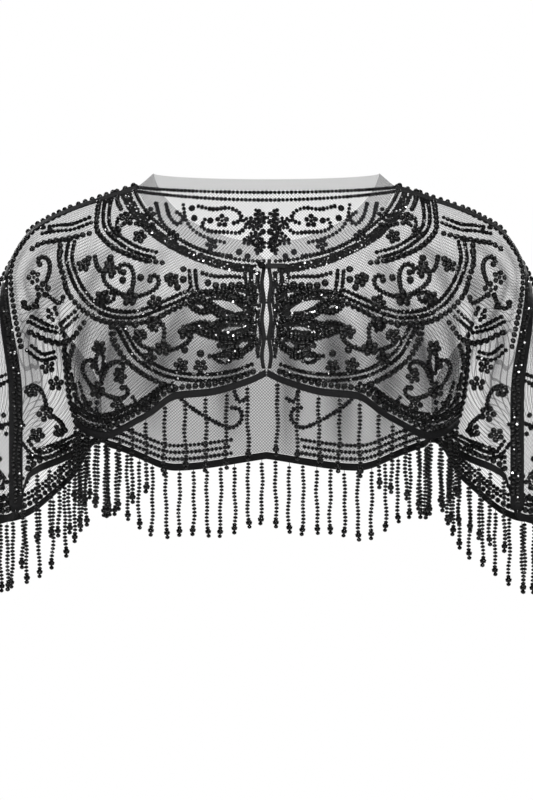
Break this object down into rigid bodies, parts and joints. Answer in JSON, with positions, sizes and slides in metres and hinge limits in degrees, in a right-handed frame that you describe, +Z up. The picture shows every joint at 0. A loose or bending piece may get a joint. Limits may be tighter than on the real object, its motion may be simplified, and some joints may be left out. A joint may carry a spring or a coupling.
{
  "type": "beaded net capelet",
  "caption": "Black net capelet in worn form, scalloped, with short wide sleeves, a hooked front, satin bindings and a bead fringe on every hem.",
  "frame": {"origin": "middle of the neck opening, level with the back neckline", "axes": "+Z up along the wearer, the front faces -Y, +X towards the viewer's right of the front"},
  "size_m": [0.5393, 0.2214, 0.3911],
  "materials": {
    "net": "sheer matt black net with bead and sequin trim",
    "satin": "black satin binding, soft sheen",
    "beads": "polished black beads",
    "hook_wire": "black lacquered wire"
  },
  "bodies": {
    "root": {"front_right": "net", "front_left": "net", "back": "net", "neck_facing": "net", "front_edge_right": "satin", "front_edge_left": "satin", "overarm_tape_right": "satin", "overarm_tape_left": "satin", "hem_fringe_right": "beads", "hem_fringe_back": "beads", "hem_fringe_left": "beads", "eye_1": "hook_wire", "hook_1": "hook_wire", "eye_2": "hook_wire", "hook_2": "hook_wire", "eye_3": "hook_wire", "hook_3": "hook_wire", "neck_button": "beads", "neck_loop": "satin"}
  },
  "joints": []
}
